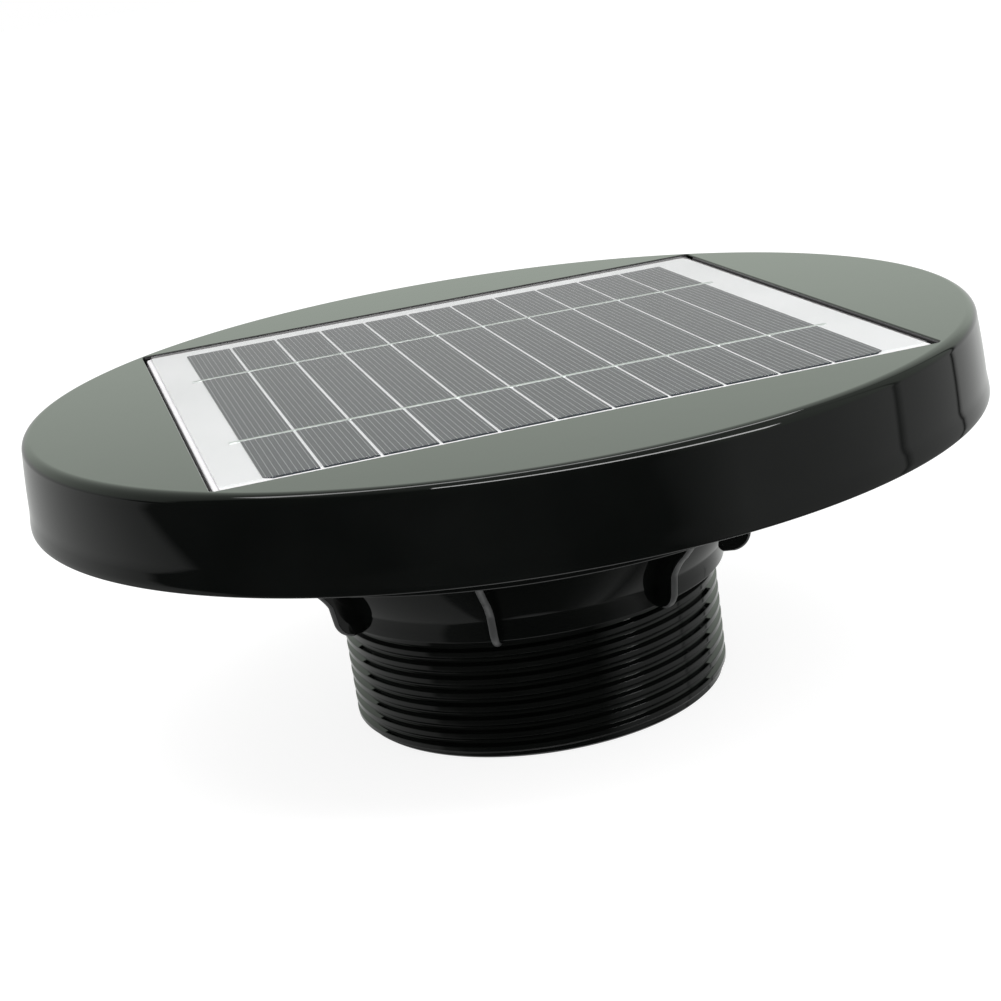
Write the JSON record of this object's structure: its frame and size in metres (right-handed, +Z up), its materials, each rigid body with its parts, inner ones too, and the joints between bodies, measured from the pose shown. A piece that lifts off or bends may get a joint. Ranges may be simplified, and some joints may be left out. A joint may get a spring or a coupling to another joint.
{
  "type": "solar attic fan",
  "caption": "Round low roof ventilator with a flush square solar panel in its cap, a threaded neck and an electric axial fan in the neck.",
  "frame": {"origin": "centre of the neck's lower end face, on the axis", "axes": "+Z up along the neck and fan axis; X and Y along the panel's sides; -Y is the front"},
  "size_m": [0.25, 0.25, 0.094],
  "materials": {
    "housing_black": "moulded high gloss",
    "foam_black": "closed-cell foam",
    "board_white": "white back sheet",
    "clear_front": "clear laminate",
    "silicon": "grey silicon with fine fingers",
    "tinned_ribbon": "tinned copper ribbon",
    "box_black": "moulded",
    "brass": "stamped",
    "chip_black": "moulded epoxy",
    "lead_black": "insulated lead",
    "lead_red": "insulated lead",
    "connector_white": "moulded nylon",
    "fan_black": "moulded, satin",
    "steel": "plain steel",
    "copper": "enamelled copper wire",
    "board_green": "solder mask",
    "magnet": "bonded ferrite"
  },
  "bodies": {
    "housing": {"vent_base": "housing_black", "cap_shell": "housing_black", "panel_tape": "foam_black", "panel_board": "board_white", "panel_laminate": "clear_front", "solar_cells": "silicon", "cell_ribbons": "tinned_ribbon", "junction_box": "box_black", "junction_lid": "box_black", "junction_terminals": "brass", "blocking_diode": "chip_black", "strain_relief": "foam_black", "fan_lead_black": "lead_black", "panel_lead_black": "lead_black", "fan_lead_red": "lead_red", "panel_lead_red": "lead_red", "lead_socket": "connector_white", "lead_plug": "connector_white", "fan_frame": "fan_black", "hub_plug": "fan_black", "lower_bearing": "steel", "upper_bearing": "steel", "preload_washer": "steel", "stator_core": "steel", "stator_windings": "copper", "driver_board": "board_green", "driver_components": "chip_black", "inlet_grille": "box_black", "grille_clamp": "box_black", "cap_screws": "steel", "frame_screws": "steel"},
    "fan_rotor": {"impeller": "fan_black", "rotor_yoke": "steel", "magnet_ring": "magnet", "shaft": "steel", "retaining_clip": "steel"}
  },
  "joints": [
    {"name": "fan_spin", "type": "hinge", "parent": "housing", "child": "fan_rotor", "pos_m": [0, 0, 0.047], "axis": [0, 0, 1], "continuous": true}
  ]
}
